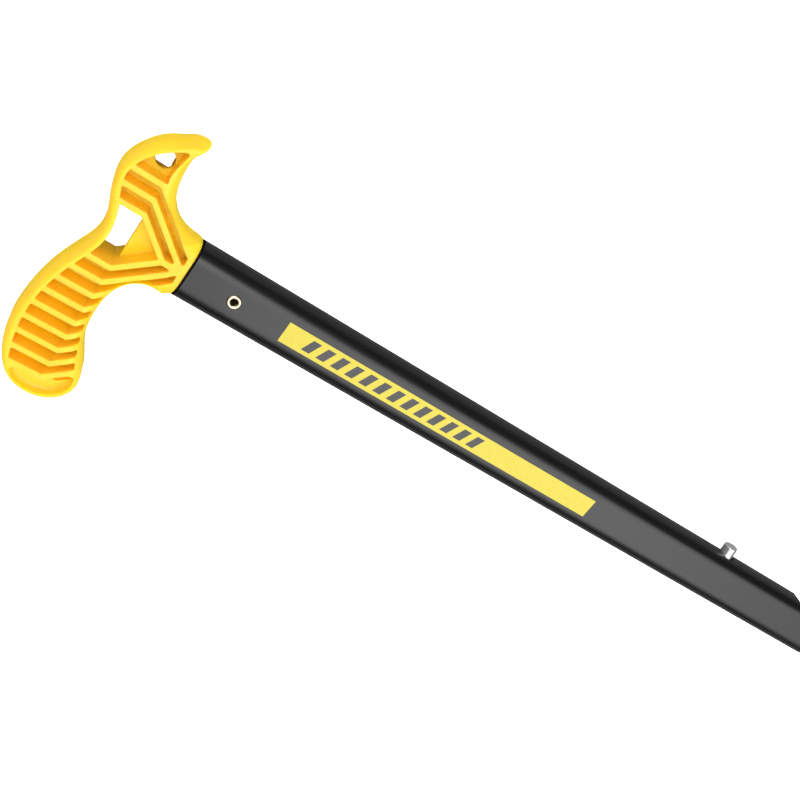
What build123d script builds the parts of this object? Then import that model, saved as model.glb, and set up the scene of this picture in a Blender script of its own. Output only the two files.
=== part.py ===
"""A one-hand axe: a ribbed, hooked handle moulding riveted into a flat oval shaft.

Millimetres. While it is modelled, X runs down the shaft from the handle to the foot, with x = 0 at
the shoulder that the tube meets, +Y points to the beak's side and Z runs through the thickness,
with the shaft's axis on y = 0, z = 0. The parts are written with the whole object lying on its side:
its lowest point on z = 0 and the origin under the centre of its box.
"""

from build123d import *
import math
import os

# Shaft: a flat oval aluminium tube, cut off at a slant at the foot
TUBE_HEIGHT = 30.0
TUBE_DEPTH = 20.0
TUBE_CORNER = 9.0
TUBE_WALL = 1.5
SHOULDER_GAP = 0.5
BEAK_SIDE_LENGTH = 413.0
PALM_SIDE_LENGTH = 448.0
BEAK_SIDE_FOOT_RADIUS = 8.0
PALM_SIDE_FOOT_RADIUS = 4.0

# Handle moulding
HANDLE_DEPTH = 25.0
HANDLE_SECTIONS = 8      # between mid depth and each face
WEB = 3.0                # the wall left at mid depth between the front and the back pockets
RIB = 2.6
RIB_PITCH = 8.2
FIRST_RIB = 15.0         # from the shaft's axis to the first rib's kink
KINK = -30.0
ARM_ANGLE = 40.0
RIBS_TO_LOBE = 9
RIBS_TO_BEAK = 3
COLLAR = 2.9             # the solid band at the end of the ribs
STEM = 3.0
POCKET_CORNER = 0.8
POCKET_FLOOR_RADIUS = 0.6
SMALLEST_POCKET = 30.0   # area; a smaller gap between the ribs stays solid
DISH_FLOOR = 7.5         # the floor of the last pocket, under the lobe's last rib
DISH_RADIUS = 2.5        # of its corners and of its floor
DISH_SLOT_FLOOR = 4.5
DISH_SLOT_LENGTH = 10.5
DISH_SLOT_WIDTH = 3.6
DISH_SLOT_START = 4.0    # along the last rib's arm from its kink
DISH_SLOT_GAP = 0.5      # from the side of the arm
STRAP_HOLE_EDGE = -28.4
STRAP_HOLE_CORNER = 1.2
CORD_HOLE = (-34.2, 39.3)
CORD_HOLE_RADIUS = 4.6
SMOOTH_ANGLE = 15.0      # faces that meet at less than this make no corner
PAST_FACE = 1.0          # how far a pocket's tool stands out of the face it cuts
BEYOND = 150.0           # past the handle whichever way it is laid, for what cuts or runs past it
NECK_LENGTH = 10.0
NECK_FLARE = 10.0        # how much taller the neck is where it leaves the ribbed part
NECK_SWELL = 7.0         # and how much deeper
TENON_LENGTH = 44.0
TENON_CLEARANCE = 0.15
TENON_NOSE = 1.5

# The handle's outline at mid depth, anticlockwise from the neck. Each row is x, y, how far the edge
# rounding reaches in at the faces, how deep that rounding is, and the wall out to the pockets. A
# reach of HORN draws the point in towards the horn's core instead, which tapers the beak, and the
# pockets' edge leaves out a point whose wall is SOLID.
HORN = -1.0
SOLID = 0.0
HORN_CORE = (-28.5, 49.5)
HORN_SHRINK = 0.55
HANDLE_OUTLINE = (
    (4.0, 15.0, 5.0, 9.0, 1.6),
    (-7.0, 15.4, 5.0, 9.0, 1.6),
    (-14.4, 18.4, 6.0, 8.5, 1.6),
    (-20.0, 24.5, 6.0, 8.0, 1.6),
    (-23.4, 33.2, 5.6, 8.0, 4.9),
    (-24.5, 42.0, 5.0, 8.0, 4.2),
    (-23.3, 49.7, HORN, 12.5, SOLID),
    (-20.8, 54.0, HORN, 12.5, SOLID),
    (-20.4, 55.9, HORN, 12.5, SOLID),
    (-22.5, 56.2, HORN, 12.5, SOLID),
    (-29.6, 53.2, HORN, 12.5, 4.0),
    (-37.4, 48.7, 4.6, 9.0, 3.8),
    (-45.3, 39.8, 4.2, 8.0, 3.5),
    (-49.8, 28.0, 3.0, 8.0, 3.8),
    (-48.3, 17.3, 3.4, 8.0, 4.6),
    (-43.9, 5.5, 3.4, 8.0, 4.6),
    (-42.7, -5.5, 3.0, 8.0, 3.7),
    (-47.0, -18.5, 2.8, 8.0, 3.4),
    (-52.6, -33.5, 3.0, 8.0, 3.7),
    (-55.6, -50.0, 3.3, 8.0, 4.1),
    (-55.6, -66.0, 3.6, 8.0, 4.9),
    (-51.8, -78.5, 3.2, 6.0, 4.2),
    (-43.5, -89.3, 3.0, 4.5, 2.2),
    (-31.0, -92.9, 3.8, 4.5, 2.8),
    (-19.5, -89.0, 3.8, 4.5, 2.9),
    (-13.3, -79.0, 3.8, 5.0, 2.7),
    (-15.6, -69.0, 4.8, 7.0, 3.1),
    (-20.8, -58.8, 5.5, 8.0, 1.8),
    (-23.9, -48.0, 5.5, 8.0, 1.6),
    (-24.5, -37.5, 5.5, 8.0, 1.6),
    (-22.4, -26.0, 5.5, 8.0, 1.6),
    (-16.5, -18.2, 5.5, 8.0, 1.6),
    (-7.0, -15.5, 5.0, 9.0, 2.2),
    (4.0, -15.0, 5.0, 9.0, 2.2),
)

# Tubular rivet through the tube and the tenon
RIVET_X = 26.0
RIVET_BARREL = 2.4
RIVET_BORE = 1.75
RIVET_FLANGE = 3.6
RIVET_HEIGHT = 0.9
RIVET_EDGE = 0.75
RIVET_CLEARANCE = 0.05

# Side label, a film on the tube's front flat
LABEL_START = 54.0
LABEL_LENGTH = 198.0
LABEL_HEIGHT = 11.3
LABEL_THICKNESS = 0.15

# Snap button on its leaf spring, near the foot
BUTTON_X = 350.5         # where the button's axis leaves the shaft
BUTTON_RADIUS = 4.1
BUTTON_STANDS = 6.0
BUTTON_EDGE = 0.9
BUTTON_HOLE_X = 350.8    # further on than the button, which swings that way as it is pressed
BUTTON_HOLE_RADIUS = 5.0
BUTTON_LEAN = 10.0
SPRING_THICKNESS = 0.8
SPRING_WIDTH = 8.0
SPRING_LEG = 42.0
SPRING_TAIL = 5.5
SPRING_OFF_WALL = 1.08   # from the tube's inner wall to the middle of the leaf's still leg
SPRING_AT_BUTTON = 11.0  # the middle of the leaf, where the button is riveted to it
SHANK_RADIUS = 1.5
SHANK_CLEARANCE = 0.05
SHANK_HEAD_RADIUS = 2.3
SHANK_HEAD = 0.7

# Plug in the foot
PLUG_LENGTH = 22.0
PLUG_RECESS = 1.2
PLUG_CLEARANCE = 0.1


def oval(height, depth, corner, x=0.0):
    """A section of the shaft's shape, drawn across the shaft."""
    return Pos(x, 0, 0) * (Plane.YZ * RectangleRounded(height, depth, corner))


def inner_oval(clearance, x=0.0):
    """What fits inside the tube with this clearance all round."""
    drawn_in = 2 * (TUBE_WALL + clearance)
    corner = TUBE_CORNER - TUBE_WALL - clearance
    return oval(TUBE_HEIGHT - drawn_in, TUBE_DEPTH - drawn_in, corner, x)


def side_prism(face, low, high):
    """A face drawn on the XY plane, made solid from one height to another."""
    return Pos(0, 0, low) * extrude(face, amount=high - low)


def side_hole(x, y, radius):
    """A drill from the back to the front."""
    return Pos(x, y, 0) * Cylinder(radius, 2 * HANDLE_DEPTH)


def rounding_share(z, depth):
    """How much of its edge rounding a point of the outline has taken at this height."""
    into = max(0.0, abs(z) - (HANDLE_DEPTH / 2 - depth)) / depth
    return 1 - math.sqrt(1 - min(into, 1.0) ** 2)


def handle_outline(drawn_in):
    """The outline's points, each moved in by what drawn_in gives for it, as a smooth closed wire."""
    points = []
    for i, row in enumerate(HANDLE_OUTLINE):
        before = HANDLE_OUTLINE[i - 1]
        after = HANDLE_OUTLINE[(i + 1) % len(HANDLE_OUTLINE)]
        along = Vector(after[0] - before[0], after[1] - before[1]).normalized()
        move = drawn_in(row, Vector(-along.Y, along.X))
        if move is not None:
            points.append(Vector(row[0], row[1]) + move)
    return Wire(Edge.make_spline(points, periodic=True))


def handle_section(z):
    """The handle's outline at one height, with its edge rounding taken off."""

    def drawn_in(row, inward):
        share = rounding_share(z, row[3])
        if row[2] == HORN:
            return (Vector(*HORN_CORE) - Vector(row[0], row[1])) * HORN_SHRINK * share
        return inward * row[2] * share

    return Pos(0, 0, z) * handle_outline(drawn_in)


def handle_blank():
    """The handle's rounded outer form, cut off square at the shoulder and blended into the shaft."""
    half = HANDLE_DEPTH / 2
    turns = [90 * step / HANDLE_SECTIONS for step in range(-HANDLE_SECTIONS, HANDLE_SECTIONS + 1)]
    form = Solid.make_loft([handle_section(half * math.sin(math.radians(t))) for t in turns])
    neck = loft(
        [
            oval(TUBE_HEIGHT + NECK_FLARE, TUBE_DEPTH + NECK_SWELL, TUBE_CORNER, -NECK_LENGTH),
            oval(TUBE_HEIGHT, TUBE_DEPTH, TUBE_CORNER),
        ]
    )
    up_to_neck = (Align.MAX, Align.CENTER, Align.CENTER)
    ribbed_side = Pos(-NECK_LENGTH, 0, 0) * Box(BEYOND, 2 * BEYOND, 2 * HANDLE_DEPTH, align=up_to_neck)
    return form & (ribbed_side + neck)


def rib(kink_y):
    """One chevron rib: level from the palm to its kink, then sloping in to the shaft's axis."""
    towards_axis = -ARM_ANGLE if kink_y > 0 else ARM_ANGLE
    arm_length = abs(kink_y) / math.sin(math.radians(ARM_ANGLE))
    from_kink = (Align.MIN, Align.CENTER)
    level = Rot(0, 0, 180) * Rectangle(BEYOND, RIB, align=from_kink)
    arm = Rot(0, 0, towards_axis) * Rectangle(arm_length, RIB, align=from_kink)
    return Pos(KINK, kink_y) * (level + arm + Circle(RIB / 2))


def pocket_faces():
    """The hollows between the ribs, as faces, from the beak down to the lobe."""
    inside = make_face(
        handle_outline(lambda row, inward: None if row[4] == SOLID else inward * row[4])
    )
    collar = Pos(-COLLAR, 0) * Rectangle(BEYOND, BEYOND, align=(Align.MIN, Align.CENTER))
    stem = Pos(-COLLAR, 0) * Rectangle(NECK_LENGTH, STEM, align=(Align.MAX, Align.CENTER))
    solid = collar + stem
    for step in range(RIBS_TO_BEAK):
        solid += rib(FIRST_RIB + step * RIB_PITCH)
    for step in range(RIBS_TO_LOBE):
        solid += rib(-FIRST_RIB - step * RIB_PITCH)
    faces = (inside - solid).faces().filter_by(lambda face: face.area > SMALLEST_POCKET)
    return faces.sort_by(Axis.Y, reverse=True)


def is_corner(edge, solid):
    """Whether two faces of the solid meet along this edge at more than a slight angle."""
    beside = [face for face in solid.faces() if edge in face.edges()]
    first, second = (face.normal_at(edge @ 0.5) for face in beside)
    return first.get_angle(second) > SMOOTH_ANGLE


def pocket(face, floor, corner_radius, floor_radius):
    """The tool that cuts one pocket from the front, with rounded corners and a rounded floor."""
    tool = side_prism(face, floor, HANDLE_DEPTH / 2 + PAST_FACE)
    upright = tool.edges().filter_by(Axis.Z)
    corners = [edge for edge in upright if is_corner(edge, tool)]
    tool = fillet(corners, corner_radius)
    return fillet(tool.edges().group_by(Axis.Z)[0], floor_radius)


def dish_slot():
    """The deeper slot in the lobe's dish, close under the arm of the last rib."""
    kink_y = -FIRST_RIB - (RIBS_TO_LOBE - 1) * RIB_PITCH
    under_rib = -(RIB + DISH_SLOT_WIDTH) / 2 - DISH_SLOT_GAP
    along_arm = Pos(KINK, kink_y) * Rot(0, 0, ARM_ANGLE)
    middle = Pos(DISH_SLOT_START + DISH_SLOT_LENGTH / 2, under_rib)
    slot = along_arm * middle * SlotOverall(DISH_SLOT_LENGTH, DISH_SLOT_WIDTH)
    return side_prism(slot, DISH_SLOT_FLOOR, HANDLE_DEPTH / 2 + PAST_FACE)


def strap_hole(cell):
    """The palm's end of the middle cell, cut right through."""
    palm_end = Pos(STRAP_HOLE_EDGE, 0) * Rectangle(BEYOND, BEYOND, align=(Align.MAX, Align.CENTER))
    tool = side_prism(cell & palm_end, -HANDLE_DEPTH, HANDLE_DEPTH)
    return fillet(tool.edges().filter_by(Axis.Z), STRAP_HOLE_CORNER)


def tenon():
    """The part of the handle that goes into the tube, with an eased nose."""
    overlap = 1.0
    solid = extrude(inner_oval(TENON_CLEARANCE, -overlap), amount=TENON_LENGTH + overlap)
    return chamfer(solid.edges().group_by(Axis.X)[-1], TENON_NOSE)


def handle():
    """The moulding: blank, pockets from both sides, the two through holes and the tenon."""
    *pockets, dish = pocket_faces()
    tools = [pocket(face, WEB / 2, POCKET_CORNER, POCKET_FLOOR_RADIUS) for face in pockets]
    tools.append(pocket(dish, DISH_FLOOR, DISH_RADIUS, DISH_RADIUS))
    tools.append(dish_slot())
    tools += [mirror(tool, about=Plane.XY) for tool in tools]
    middle_cell = min(pockets, key=lambda face: abs(face.center().Y))
    tools.append(strap_hole(middle_cell))
    tools.append(side_hole(*CORD_HOLE, CORD_HOLE_RADIUS))
    rivet_hole = side_hole(RIVET_X, 0, RIVET_BARREL + RIVET_CLEARANCE)
    return handle_blank() - tools + tenon() - rivet_hole


def foot_cut(recess):
    """What lies behind the slanting foot, as a prism, the corners rounded as the foot's are."""
    top = TUBE_HEIGHT / 2
    corners = [
        (SHOULDER_GAP, top),
        (SHOULDER_GAP, -top),
        (PALM_SIDE_LENGTH - recess, -top),
        (BEAK_SIDE_LENGTH - recess, top),
    ]
    profile = make_face(Polyline(*corners, close=True))
    beak_side = profile.vertices().sort_by(Axis.X)[2]
    profile = fillet(beak_side, BEAK_SIDE_FOOT_RADIUS)
    palm_side = profile.vertices().sort_by(Axis.X)[-1]
    profile = fillet(palm_side, PALM_SIDE_FOOT_RADIUS)
    return side_prism(profile, -TUBE_DEPTH, TUBE_DEPTH)


def shaft_tube():
    """The oval tube with its slanting foot, the rivet's holes and the button's hole."""
    outer = extrude(oval(TUBE_HEIGHT, TUBE_DEPTH, TUBE_CORNER), amount=PALM_SIDE_LENGTH)
    inner = extrude(inner_oval(0), amount=PALM_SIDE_LENGTH)
    drill = Pos(BUTTON_HOLE_X, 0, 0) * Rot(-90, 0, 0)
    button_hole = drill * Cylinder(
        BUTTON_HOLE_RADIUS, TUBE_HEIGHT, align=(Align.CENTER, Align.CENTER, Align.MIN)
    )
    rivet_hole = side_hole(RIVET_X, 0, RIVET_BARREL + RIVET_CLEARANCE)
    return (outer - inner & foot_cut(0)) - rivet_hole - button_hole


def tubular_rivet():
    """The hollow rivet, rolled over on both flats of the tube."""
    seat = TUBE_DEPTH / 2
    top = seat + RIVET_HEIGHT
    half_section = [
        (RIVET_BORE, -top),
        (RIVET_BORE, top),
        (RIVET_FLANGE, top),
        (RIVET_FLANGE, seat),
        (RIVET_BARREL, seat),
        (RIVET_BARREL, -seat),
        (RIVET_FLANGE, -seat),
        (RIVET_FLANGE, -top),
    ]
    profile = Plane.XZ * make_face(Polyline(*half_section, close=True))
    spool = revolve(profile, Axis.Z)
    by_height = spool.edges().group_by(Axis.Z)
    return Pos(RIVET_X, 0, 0) * fillet(by_height[0] + by_height[-1], RIVET_EDGE)


def side_label():
    """The film on the front flat."""
    middle = Pos(LABEL_START + LABEL_LENGTH / 2, 0, TUBE_DEPTH / 2)
    bottom = (Align.CENTER, Align.CENTER, Align.MIN)
    return middle * Box(LABEL_LENGTH, LABEL_HEIGHT, LABEL_THICKNESS, align=bottom)


def button_seat():
    """Where the button stands: a plane in the middle of the leaf, facing along the button."""
    lean = math.radians(BUTTON_LEAN)
    below_surface = TUBE_HEIGHT / 2 - SPRING_AT_BUTTON
    origin = (BUTTON_X + below_surface * math.tan(lean), SPRING_AT_BUTTON, 0)
    return Plane(origin=origin, z_dir=(-math.sin(lean), math.cos(lean), 0), x_dir=(0, 0, 1))


def snap_button():
    """The button with its shank through the leaf and a peened head underneath."""
    leaf = SPRING_THICKNESS / 2
    below_surface = TUBE_HEIGHT / 2 - SPRING_AT_BUTTON
    length = below_surface / math.cos(math.radians(BUTTON_LEAN)) + BUTTON_STANDS - leaf
    standing = (Align.CENTER, Align.CENTER, Align.MIN)
    body = Pos(0, 0, leaf) * Cylinder(BUTTON_RADIUS, length, align=standing)
    body = fillet(body.edges().group_by(Axis.Z)[-1], BUTTON_EDGE)
    shank = Cylinder(SHANK_RADIUS, SPRING_THICKNESS)
    hanging = (Align.CENTER, Align.CENTER, Align.MAX)
    head = Pos(0, 0, -leaf) * Cylinder(SHANK_HEAD_RADIUS, SHANK_HEAD, align=hanging)
    head = fillet(head.edges().group_by(Axis.Z)[0], SHANK_HEAD / 2)
    return button_seat() * (body + shank + head)


def button_spring():
    """The leaf bent into a V: a still leg on the palm's side and a leg that carries the button."""
    lean = math.radians(BUTTON_LEAN)
    seat = button_seat().origin
    along_leg = Vector(math.cos(lean), math.sin(lean))
    leg_start = seat - along_leg * SPRING_LEG
    still_y = -TUBE_HEIGHT / 2 + TUBE_WALL + SPRING_OFF_WALL
    bend_radius = (leg_start.Y - still_y) / (1 + math.cos(lean))
    bend = Vector(leg_start.X + bend_radius * math.sin(lean), still_y + bend_radius)
    still_leg = Edge.make_line((seat.X, still_y), (bend.X, still_y))
    turn = Edge.make_three_point_arc(
        (bend.X, still_y), (bend.X - bend_radius, bend.Y), tuple(leg_start)
    )
    leg = Edge.make_line(leg_start, seat + along_leg * SPRING_TAIL)
    path = Wire([still_leg, turn, leg])
    section = Plane(path @ 0, x_dir=(0, 0, 1), z_dir=path % 0) * Rectangle(
        SPRING_WIDTH, SPRING_THICKNESS
    )
    leaf = sweep(section, path)
    return leaf - button_seat() * Cylinder(SHANK_RADIUS + SHANK_CLEARANCE, SPRING_LEG / 2)


def foot_plug():
    """The plug that fills the foot, cut to the same slant and set back a little."""
    start = BEAK_SIDE_LENGTH - PLUG_LENGTH
    plug = extrude(inner_oval(PLUG_CLEARANCE, start), amount=PALM_SIDE_LENGTH - start)
    return plug & foot_cut(PLUG_RECESS)


def write_parts(parts):
    """Lay the object on z = 0 with the origin under the centre of its box, and write each part."""
    whole = Compound([solid for part in parts.values() for solid in part.solids()])
    box = whole.bounding_box()
    centre = box.center()
    move = Pos(-centre.X, -centre.Y, -box.min.Z)
    os.makedirs("parts", exist_ok=True)
    for name, part in parts.items():
        export_step(move * part.solid(), f"parts/{name}.step")


write_parts(
    {
        "handle": handle(),
        "shaft_tube": shaft_tube(),
        "tubular_rivet": tubular_rivet(),
        "side_label": side_label(),
        "snap_button": snap_button(),
        "button_spring": button_spring(),
        "foot_plug": foot_plug(),
    }
)
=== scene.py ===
"""The looks of the one-hand ice axe: plastics, anodised tube, metals, label, studio and camera.

Metres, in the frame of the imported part: it lies on its side on z = 0, +X runs down the shaft from
the handle to the foot, and +Y points to the side of the beak and the snap button.
"""

import math

import bpy
from mathutils import Matrix, Vector


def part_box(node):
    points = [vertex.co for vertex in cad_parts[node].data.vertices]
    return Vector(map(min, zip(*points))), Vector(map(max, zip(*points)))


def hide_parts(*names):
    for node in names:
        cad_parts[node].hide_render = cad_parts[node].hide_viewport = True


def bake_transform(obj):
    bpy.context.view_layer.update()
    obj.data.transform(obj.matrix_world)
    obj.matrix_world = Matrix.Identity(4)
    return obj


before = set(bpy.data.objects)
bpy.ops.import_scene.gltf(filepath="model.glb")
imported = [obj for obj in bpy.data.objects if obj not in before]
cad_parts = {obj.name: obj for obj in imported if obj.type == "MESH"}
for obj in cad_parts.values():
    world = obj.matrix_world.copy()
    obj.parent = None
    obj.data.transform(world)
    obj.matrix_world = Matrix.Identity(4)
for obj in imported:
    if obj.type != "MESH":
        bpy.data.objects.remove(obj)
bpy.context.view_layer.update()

# Where the shaft's axis meets the tube's end, which the camera and the lights are placed from
TUBE_LOW, TUBE_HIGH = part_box("shaft_tube")
SHOULDER = Vector(
    (TUBE_LOW[0], (TUBE_LOW[1] + TUBE_HIGH[1]) / 2, (TUBE_LOW[2] + TUBE_HIGH[2]) / 2)
)

# Camera
CAMERA_PLACE = SHOULDER + Vector((-0.09092, 0.18180, 0.50479))
CAMERA_TARGET = SHOULDER + Vector((0.12760, -0.00423, 0.0))
CAMERA_ROLL = 164.59
CAMERA_LENS = 50.985
CAMERA_SEES_FROM = 0.01

# Floor, just under the part: its grey, its grey as the part reflects it, and its glow for the camera
FLOOR_SIZE = 6.0
FLOOR_DROP = 0.0002
FLOOR_LEVEL = 0.75
FLOOR_IN_REFLECTIONS = 0.15
FLOOR_GLOW = 1.1
FLOOR_ROUGHNESS = 0.9

# Each softbox overhead: its centre, its size and its radiance
SOFTBOXES = (
    ((0.50, -0.25, 1.00), (1.0, 1.0), 0.70),
    ((0.55, -0.15, 1.02), (2.0, 1.5), 0.78),
    ((1.15, -0.50, 1.04), (2.4, 2.2), 0.62),
    ((-0.38, 0.45, 1.06), (0.60, 0.70), 4.2),
)
# The fill light, on the side of the beak and the palm
FILL_WAY = Vector((-0.62, 0.48, 0.62)).normalized()
FILL_DISTANCE = 1.2
FILL_SIZE = (1.6, 1.6)
FILL_RADIANCE = 0.5

# Surroundings: their grey as light, as the part reflects them, and as the camera sees them
WORLD_LEVEL = 0.68
WORLD_IN_REFLECTIONS = 0.02
WORLD_SEEN = 1.0

# Ranges of a noise's value between which a material changes
NOISE_LOW = 0.3
NOISE_HIGH = 0.7
WEAR_LOW = 0.35
WEAR_HIGH = 0.65
WORN_SHADE = 0.85           # the darker places of a metal, as a share of its colour
GRAIN_DEPTH = 0.0001        # the most that a grain stands out

# Tube: its anodised skin, and the dull end by the collar, which stands in for the line of shadow there
OXIDE_IOR = 1.66
USUAL_SPECULAR = 0.5
PAINTED_SHADOW_LENGTH = 0.0008
LINE_WIDTH = 0.0004
LINE_STRETCH = (0.01, 1, 1)

# Handle plastic: painted shading, its colour at shares of the way from the middle plane out to a face,
# which stands in for how light falls into the pockets
HANDLE_LOW, HANDLE_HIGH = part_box("handle")
HALF_THICKNESS = (HANDLE_HIGH[2] - HANDLE_LOW[2]) / 2
MIDDLE_SHADING_BELOW = 0.40
MIDDLE_SHADING_COLOUR = (0.985, 0.63, 0.011, 1)
FACE_COLOUR_ABOVE = 0.95
FACE_COLOUR = (0.975, 0.555, 0.040, 1)
CLOUD_TINT = (0.985, 0.96, 0.85, 1)
CLOUD_SIZE = 0.03
SHEEN_SIZE = 0.004
HANDLE_GRAIN = 0.0006
EASED_EDGE = 0.0004
SOAK_DEPTH = 0.007          # how far red light travels inside it
SOAK_BY_CHANNEL = (1.0, 0.7, 0.08)

# Label
BARS_FROM = 0.067           # from the shoulder
BARS_TO = 0.177
BAR_PITCH = 0.0085
BAR_SHARE = 0.55            # of the pitch that is dark
BAR_SLANT = 0.45
BAR_HALF_HEIGHT = 0.0036
LABEL_GRAIN = 0.002

PLUG_GRAIN = 0.0005


# ---------------------------------------------------------------- node helpers

def new_material(name):
    """An empty material with its shader, ready for nodes: (material, tree, shader)."""
    material = bpy.data.materials.new(name)
    material.use_nodes = True
    tree = material.node_tree
    return material, tree, tree.nodes["Principled BSDF"]


def node(tree, kind, **values):
    """A node with some of its settings and input values set by name."""
    made = tree.nodes.new(kind)
    for name, value in values.items():
        if hasattr(made, name):
            setattr(made, name, value)
        else:
            made.inputs[name.replace("_", " ")].default_value = value
    return made


def coordinates(tree, scale=(1, 1, 1)):
    """Positions on the object, in metres, stretched by scale."""
    place = node(tree, "ShaderNodeTexCoord")
    mapping = node(tree, "ShaderNodeMapping")
    mapping.inputs["Scale"].default_value = scale
    tree.links.new(place.outputs["Object"], mapping.inputs["Vector"])
    return mapping.outputs["Vector"]


def noise(tree, size, detail=2.0, roughness=0.5, scale=(1, 1, 1)):
    """Noise with features of this size in metres."""
    made = node(tree, "ShaderNodeTexNoise", Scale=1 / size, Detail=detail, Roughness=roughness)
    tree.links.new(coordinates(tree, scale), made.inputs["Vector"])
    return made.outputs["Fac"]


def ramp(tree, factor, stops):
    """A ramp from one colour to another: its two stops are (place, colour)."""
    made = node(tree, "ShaderNodeValToRGB")
    for element, (place, colour) in zip(made.color_ramp.elements, stops):
        element.position = place
        element.color = colour
    tree.links.new(factor, made.inputs["Fac"])
    return made.outputs["Color"]


def between(tree, factor, low, high):
    """A noise turned into colours from low to high."""
    return ramp(tree, factor, [(NOISE_LOW, low), (NOISE_HIGH, high)])


def bump(tree, height, strength, distance, normal=None):
    """Surface relief from a height, at most distance metres deep, on top of a normal if given."""
    made = node(tree, "ShaderNodeBump", Strength=strength, Distance=distance)
    tree.links.new(height, made.inputs["Height"])
    if normal:
        tree.links.new(normal, made.inputs["Normal"])
    return made.outputs["Normal"]


def grey(level):
    """The same level in all three channels."""
    return (level, level, level, 1)


def feed(tree, socket, value):
    """Link another node's output to an input, or set the input to a plain value."""
    if isinstance(value, bpy.types.NodeSocket):
        tree.links.new(value, socket)
    else:
        socket.default_value = value


def math_node(tree, operation, *values):
    """One sum: each value is a number or another node's output."""
    made = node(tree, "ShaderNodeMath", operation=operation)
    for socket, value in zip(made.inputs, values):
        feed(tree, socket, value)
    return made.outputs["Value"]


def position(tree, axis):
    """The distance along one axis of the object, in metres."""
    place = node(tree, "ShaderNodeTexCoord")
    parts = node(tree, "ShaderNodeSeparateXYZ")
    tree.links.new(place.outputs["Object"], parts.inputs["Vector"])
    return parts.outputs[axis]


def mixed(tree, factor, first, second, blend="MIX"):
    """Two colours mixed by a factor: MIX gives the first at 0 and the second at 1."""
    made = node(tree, "ShaderNodeMix", data_type="RGBA", blend_type=blend)
    for name, value in (("Factor", factor), ("A", first), ("B", second)):
        feed(tree, made.inputs[name], value)
    return made.outputs["Result"]


# ---------------------------------------------------------------- materials

def painted_depth_shading(tree):
    """Painted shading on the handle: its colour changes from its two faces to its middle plane, standing
    in for how light falls into the pockets.
    """
    height = math_node(tree, "SUBTRACT", position(tree, "Z"), SHOULDER.z)
    share = math_node(tree, "DIVIDE", math_node(tree, "ABSOLUTE", height), HALF_THICKNESS)
    return ramp(tree, share, [(MIDDLE_SHADING_BELOW, MIDDLE_SHADING_COLOUR), (FACE_COLOUR_ABOVE, FACE_COLOUR)])


def handle_plastic():
    """Yellow moulded plastic that light soaks into: cloudy colour, painted shading by depth, fine grain
    and eased edges.
    """
    material, tree, shader = new_material("handle_plastic")
    cloudy = between(tree, noise(tree, CLOUD_SIZE), CLOUD_TINT, grey(1))
    # painted shading: the colour by depth stands in for how light falls into the pockets
    colour = mixed(tree, 1.0, painted_depth_shading(tree), cloudy, "MULTIPLY")
    tree.links.new(colour, shader.inputs["Base Color"])
    sheen = between(tree, noise(tree, SHEEN_SIZE), grey(0.36), grey(0.44))
    tree.links.new(sheen, shader.inputs["Roughness"])
    eased = node(tree, "ShaderNodeBevel", samples=6, Radius=EASED_EDGE)
    relief = bump(tree, noise(tree, HANDLE_GRAIN), 0.15, GRAIN_DEPTH, eased.outputs["Normal"])
    tree.links.new(relief, shader.inputs["Normal"])
    shader.inputs["Subsurface Weight"].default_value = 1.0
    shader.inputs["Subsurface Radius"].default_value = SOAK_BY_CHANNEL
    shader.inputs["Subsurface Scale"].default_value = SOAK_DEPTH
    return material


def anodised_aluminium():
    """Black anodised drawn tube: faint lines along the shaft under a satin surface."""
    material, tree, shader = new_material("black_anodised")
    drawn = noise(tree, LINE_WIDTH, scale=LINE_STRETCH)
    colour = between(tree, drawn, grey(0.0035), grey(0.0055))
    tree.links.new(colour, shader.inputs["Base Color"])
    rough = between(tree, drawn, grey(0.27), grey(0.33))
    tree.links.new(rough, shader.inputs["Roughness"])
    tree.links.new(bump(tree, drawn, 0.04, GRAIN_DEPTH), shader.inputs["Normal"])
    shader.inputs["IOR"].default_value = OXIDE_IOR
    # painted shadow: the tube's end by the collar gets no shine, standing in for the line of shadow in
    # the joint
    past_painted_shadow = math_node(tree, "GREATER_THAN", position(tree, "X"), TUBE_LOW[0] + PAINTED_SHADOW_LENGTH)
    shine = math_node(tree, "MULTIPLY", past_painted_shadow, USUAL_SPECULAR)
    tree.links.new(shine, shader.inputs["Specular IOR Level"])
    return material


def metal(name, colour, roughness, spread, grain, metallic=1.0):
    """A bare or plated metal with fine uneven polish."""
    material, tree, shader = new_material(name)
    shader.inputs["Metallic"].default_value = metallic
    worn = noise(tree, grain, detail=4.0)
    darker = tuple(WORN_SHADE * channel for channel in colour) + (1,)
    tint = ramp(tree, worn, [(WEAR_LOW, darker), (WEAR_HIGH, colour + (1,))])
    tree.links.new(tint, shader.inputs["Base Color"])
    rough = between(tree, worn, grey(roughness), grey(roughness + spread))
    tree.links.new(rough, shader.inputs["Roughness"])
    return material


def bar_mask(tree):
    """1 on the label's printed bars, which are slanted and evenly spaced, and 0 elsewhere."""
    along = math_node(tree, "SUBTRACT", position(tree, "X"), SHOULDER.x)
    across = math_node(tree, "SUBTRACT", position(tree, "Y"), SHOULDER.y)
    slanted = math_node(tree, "SUBTRACT", along, math_node(tree, "MULTIPLY", across, BAR_SLANT))
    turns = math_node(tree, "DIVIDE", math_node(tree, "SUBTRACT", slanted, BARS_FROM), BAR_PITCH)
    conditions = (
        math_node(tree, "LESS_THAN", math_node(tree, "FRACT", turns), BAR_SHARE),
        math_node(tree, "GREATER_THAN", turns, 0.0),
        math_node(tree, "LESS_THAN", slanted, BARS_TO),
        math_node(tree, "LESS_THAN", math_node(tree, "ABSOLUTE", across), BAR_HALF_HEIGHT),
    )
    mask = 1.0
    for condition in conditions:
        mask = math_node(tree, "MULTIPLY", mask, condition)
    return mask


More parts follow.
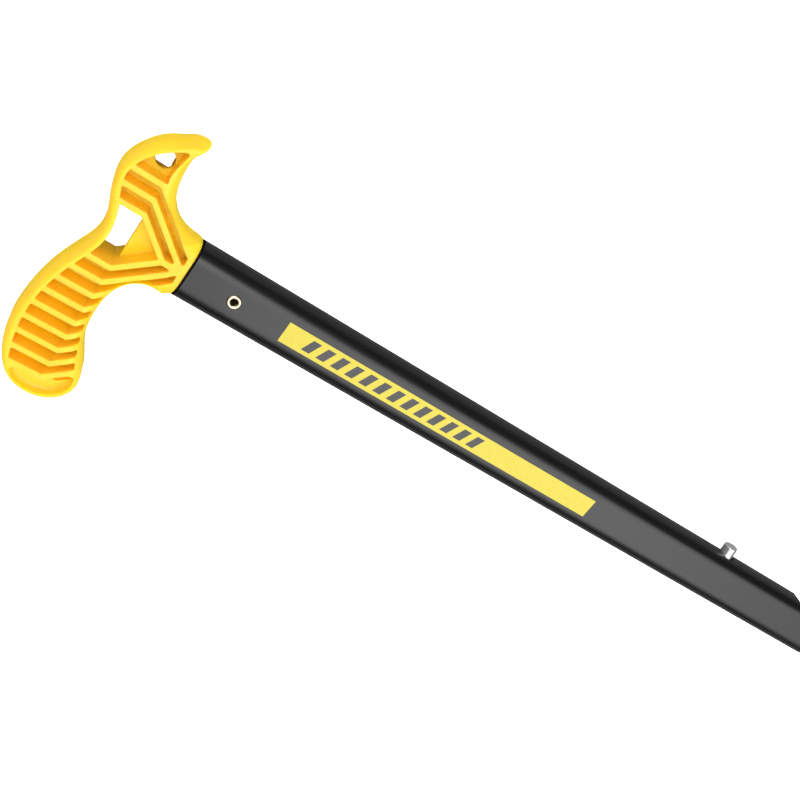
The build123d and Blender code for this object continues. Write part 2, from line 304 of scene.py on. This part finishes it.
def label_film():
    """Printed film: yellow with plain dark bars."""
    material, tree, shader = new_material("label_film")
    drift = noise(tree, LABEL_GRAIN)
    yellow = between(tree, drift, (0.53, 0.44, 0.030, 1), (0.57, 0.475, 0.038, 1))
    ink = between(tree, drift, grey(0.040), grey(0.055))
    tree.links.new(mixed(tree, bar_mask(tree), yellow, ink), shader.inputs["Base Color"])
    rough = between(tree, drift, grey(0.32), grey(0.38))
    tree.links.new(rough, shader.inputs["Roughness"])
    return material


def plug_plastic():
    """Black moulded plastic with a fine grain."""
    material, tree, shader = new_material("plug_plastic")
    grain = noise(tree, PLUG_GRAIN)
    colour = between(tree, grain, grey(0.012), grey(0.02))
    tree.links.new(colour, shader.inputs["Base Color"])
    rough = between(tree, grain, grey(0.5), grey(0.6))
    tree.links.new(rough, shader.inputs["Roughness"])
    tree.links.new(bump(tree, grain, 0.3, GRAIN_DEPTH), shader.inputs["Normal"])
    return material


def paint(name, material):
    """Give a CAD node its material."""
    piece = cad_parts[name]
    piece.data.materials.clear()
    piece.data.materials.append(material)


# ---------------------------------------------------------------- pieces

def bending_leaf(material):
    """The leaf spring as a piece of its own: a copy of the CAD node's mesh with this material, in place
    of the hidden node.
    """
    leaf = bpy.data.objects.new("bending_leaf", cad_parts["button_spring"].data.copy())
    bpy.context.scene.collection.objects.link(leaf)
    leaf.data.materials.clear()
    leaf.data.materials.append(material)
    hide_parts("button_spring")
    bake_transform(leaf)


# ---------------------------------------------------------------- studio and camera

def make_floor():
    """A plain pale floor that glows where the camera sees it, so that it shows no shadow."""
    mesh = bpy.data.meshes.new("floor")
    half = FLOOR_SIZE / 2
    corners = [(-half, -half), (half, -half), (half, half), (-half, half)]
    mesh.from_pydata([(x, y, -FLOOR_DROP) for x, y in corners], [], [(0, 1, 2, 3)])
    floor = bpy.data.objects.new("floor", mesh)
    bpy.context.scene.collection.objects.link(floor)
    material, tree, shader = new_material("floor_paper")
    shader.inputs["Roughness"].default_value = FLOOR_ROUGHNESS
    shader.inputs["Emission Color"].default_value = grey(1)
    path = node(tree, "ShaderNodeLightPath")
    glow = math_node(tree, "MULTIPLY", path.outputs["Is Camera Ray"], FLOOR_GLOW)
    tree.links.new(glow, shader.inputs["Emission Strength"])
    paper = ramp(
        tree,
        path.outputs["Is Glossy Ray"],
        [(0.0, grey(FLOOR_LEVEL)), (1.0, grey(FLOOR_IN_REFLECTIONS))],
    )
    tree.links.new(paper, shader.inputs["Base Color"])
    mesh.materials.append(material)


def softbox(name, centre, size, radiance):
    """A soft rectangular light with this radiance, facing straight down."""
    light = bpy.data.lights.new(name, "AREA")
    light.shape = "RECTANGLE"
    light.size, light.size_y = size
    light.energy = radiance * math.pi * size[0] * size[1]
    lamp = bpy.data.objects.new(name, light)
    lamp.location = centre
    bpy.context.scene.collection.objects.link(lamp)
    return lamp


def make_lights():
    """Soft lights overhead, one below another, so that they fade at their edges, and a fill light."""
    for number, (centre, size, radiance) in enumerate(SOFTBOXES):
        softbox(f"softbox_{number}", centre, size, radiance)
    middle = (Vector(HANDLE_LOW) + Vector(HANDLE_HIGH)) / 2
    fill = softbox("fill", middle + FILL_WAY * FILL_DISTANCE, FILL_SIZE, FILL_RADIANCE)
    fill.rotation_euler = (-FILL_WAY).to_track_quat("-Z", "Y").to_euler()


def make_world():
    """Plain surroundings, nearly black in reflections and white where the camera sees past the floor."""
    world = bpy.data.worlds.new("studio")
    world.use_nodes = True
    tree = world.node_tree
    bpy.context.scene.world = world
    path = node(tree, "ShaderNodeLightPath")
    unseen = ramp(
        tree,
        path.outputs["Is Glossy Ray"],
        [(0.0, grey(WORLD_LEVEL)), (1.0, grey(WORLD_IN_REFLECTIONS))],
    )
    level = mixed(tree, path.outputs["Is Camera Ray"], unseen, grey(WORLD_SEEN))
    tree.links.new(level, tree.nodes["Background"].inputs["Color"])


def make_camera():
    """The camera, at the photograph's place and turn."""
    camera = bpy.data.cameras.new("camera")
    camera.lens = CAMERA_LENS
    camera.clip_start = CAMERA_SEES_FROM
    holder = bpy.data.objects.new("camera", camera)
    look = (CAMERA_TARGET - CAMERA_PLACE).to_track_quat("-Z", "Y").to_matrix()
    turn = look @ Matrix.Rotation(math.radians(CAMERA_ROLL), 3, "Z")
    holder.matrix_world = Matrix.Translation(CAMERA_PLACE) @ turn.to_4x4()
    bpy.context.scene.collection.objects.link(holder)
    bpy.context.scene.camera = holder


rivet = metal("rivet_nickel", (0.78, 0.70, 0.52), roughness=0.22, spread=0.12, grain=0.0004)
chrome = metal(
    "button_chrome", (0.86, 0.87, 0.87), roughness=0.12, spread=0.08, grain=0.0006, metallic=0.85
)
steel = metal("spring_steel", (0.42, 0.42, 0.43), roughness=0.3, spread=0.1, grain=0.0008)

paint("handle", handle_plastic())
paint("shaft_tube", anodised_aluminium())
paint("tubular_rivet", rivet)
paint("side_label", label_film())
paint("snap_button", chrome)
paint("foot_plug", plug_plastic())
bending_leaf(steel)

make_floor()
make_lights()
make_world()
make_camera()
bpy.context.scene.view_settings.view_transform = "Standard"
